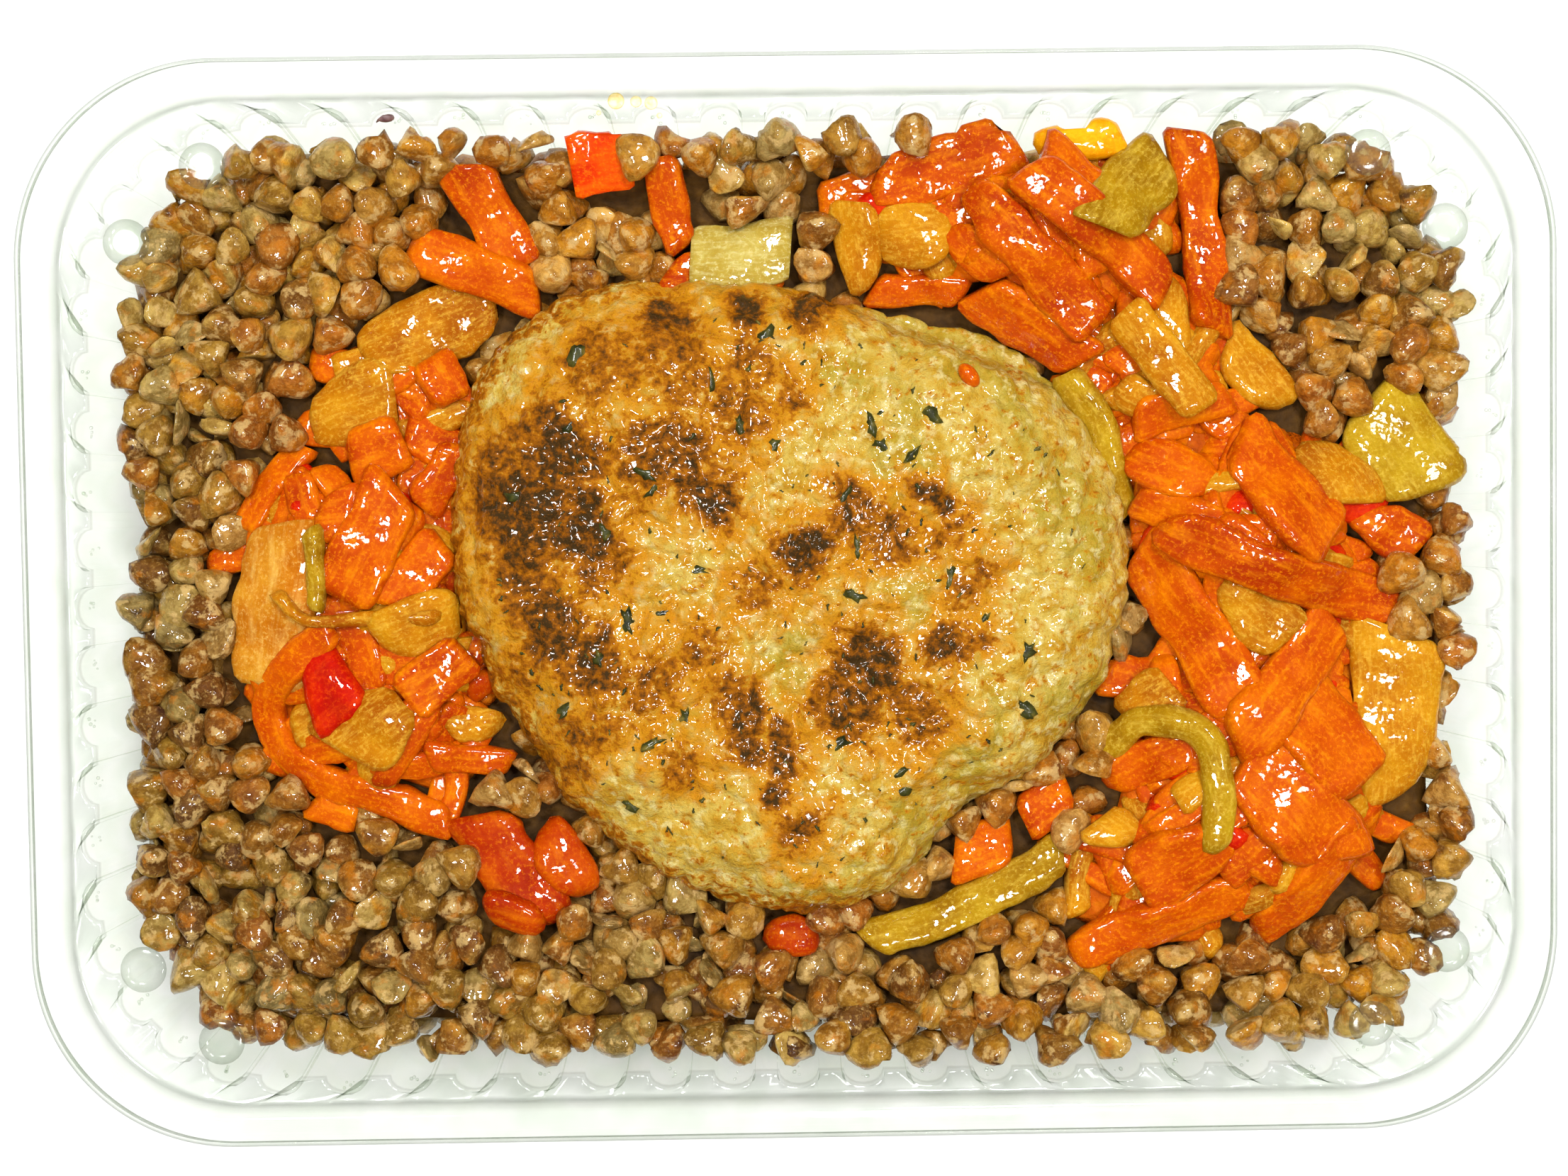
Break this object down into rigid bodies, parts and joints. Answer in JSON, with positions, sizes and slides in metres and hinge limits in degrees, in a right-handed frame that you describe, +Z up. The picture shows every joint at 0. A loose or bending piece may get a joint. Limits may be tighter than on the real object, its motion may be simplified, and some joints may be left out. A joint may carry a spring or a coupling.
{
  "type": "clear plastic tray meal",
  "caption": "Rectangular clear fluted plastic tray filled with boiled buckwheat, a browned minced-chicken patty in the middle and stewed carrot, leek and pepper round it.",
  "frame": {"origin": "centre of the bounding box's bottom face, on the underside of the tray's floor", "axes": "+X along the tray's long side, +Y along its short side towards the top of the picture, +Z up"},
  "size_m": [0.186, 0.132, 0.04],
  "materials": {
    "clear_plastic": "thin clear formed plastic, glossy, slightly milky at its rounded edges",
    "buckwheat": "boiled brown grains with a moist low gloss",
    "patty": "cream to golden fried minced chicken with dark brown browning, herbs and an oily gloss",
    "carrot": "stewed carrot, soft and glossy with oil",
    "leek": "stewed leek and onion, translucent and glossy",
    "red_pepper": "stewed red pepper, glossy skin",
    "green_pepper": "stewed green pepper and celery, olive yellow and glossy"
  },
  "bodies": {
    "root": {"tray": "clear_plastic", "buckwheat": "buckwheat", "patty": "patty", "vegetables_left": "carrot", "vegetables_right": "carrot", "pepper_petals": "red_pepper", "pepper_square": "red_pepper", "carrot_stick_across": "carrot", "carrot_stick_upper": "carrot", "carrot_wedge": "carrot", "leek_tile": "leek", "carrot_under_tile": "carrot", "leek_shred": "leek", "carrot_upright": "carrot", "pepper_tip": "carrot", "pepper_green": "green_pepper", "leek_slab": "leek", "celery_strip": "green_pepper", "pepper_bit": "red_pepper"}
  },
  "joints": []
}
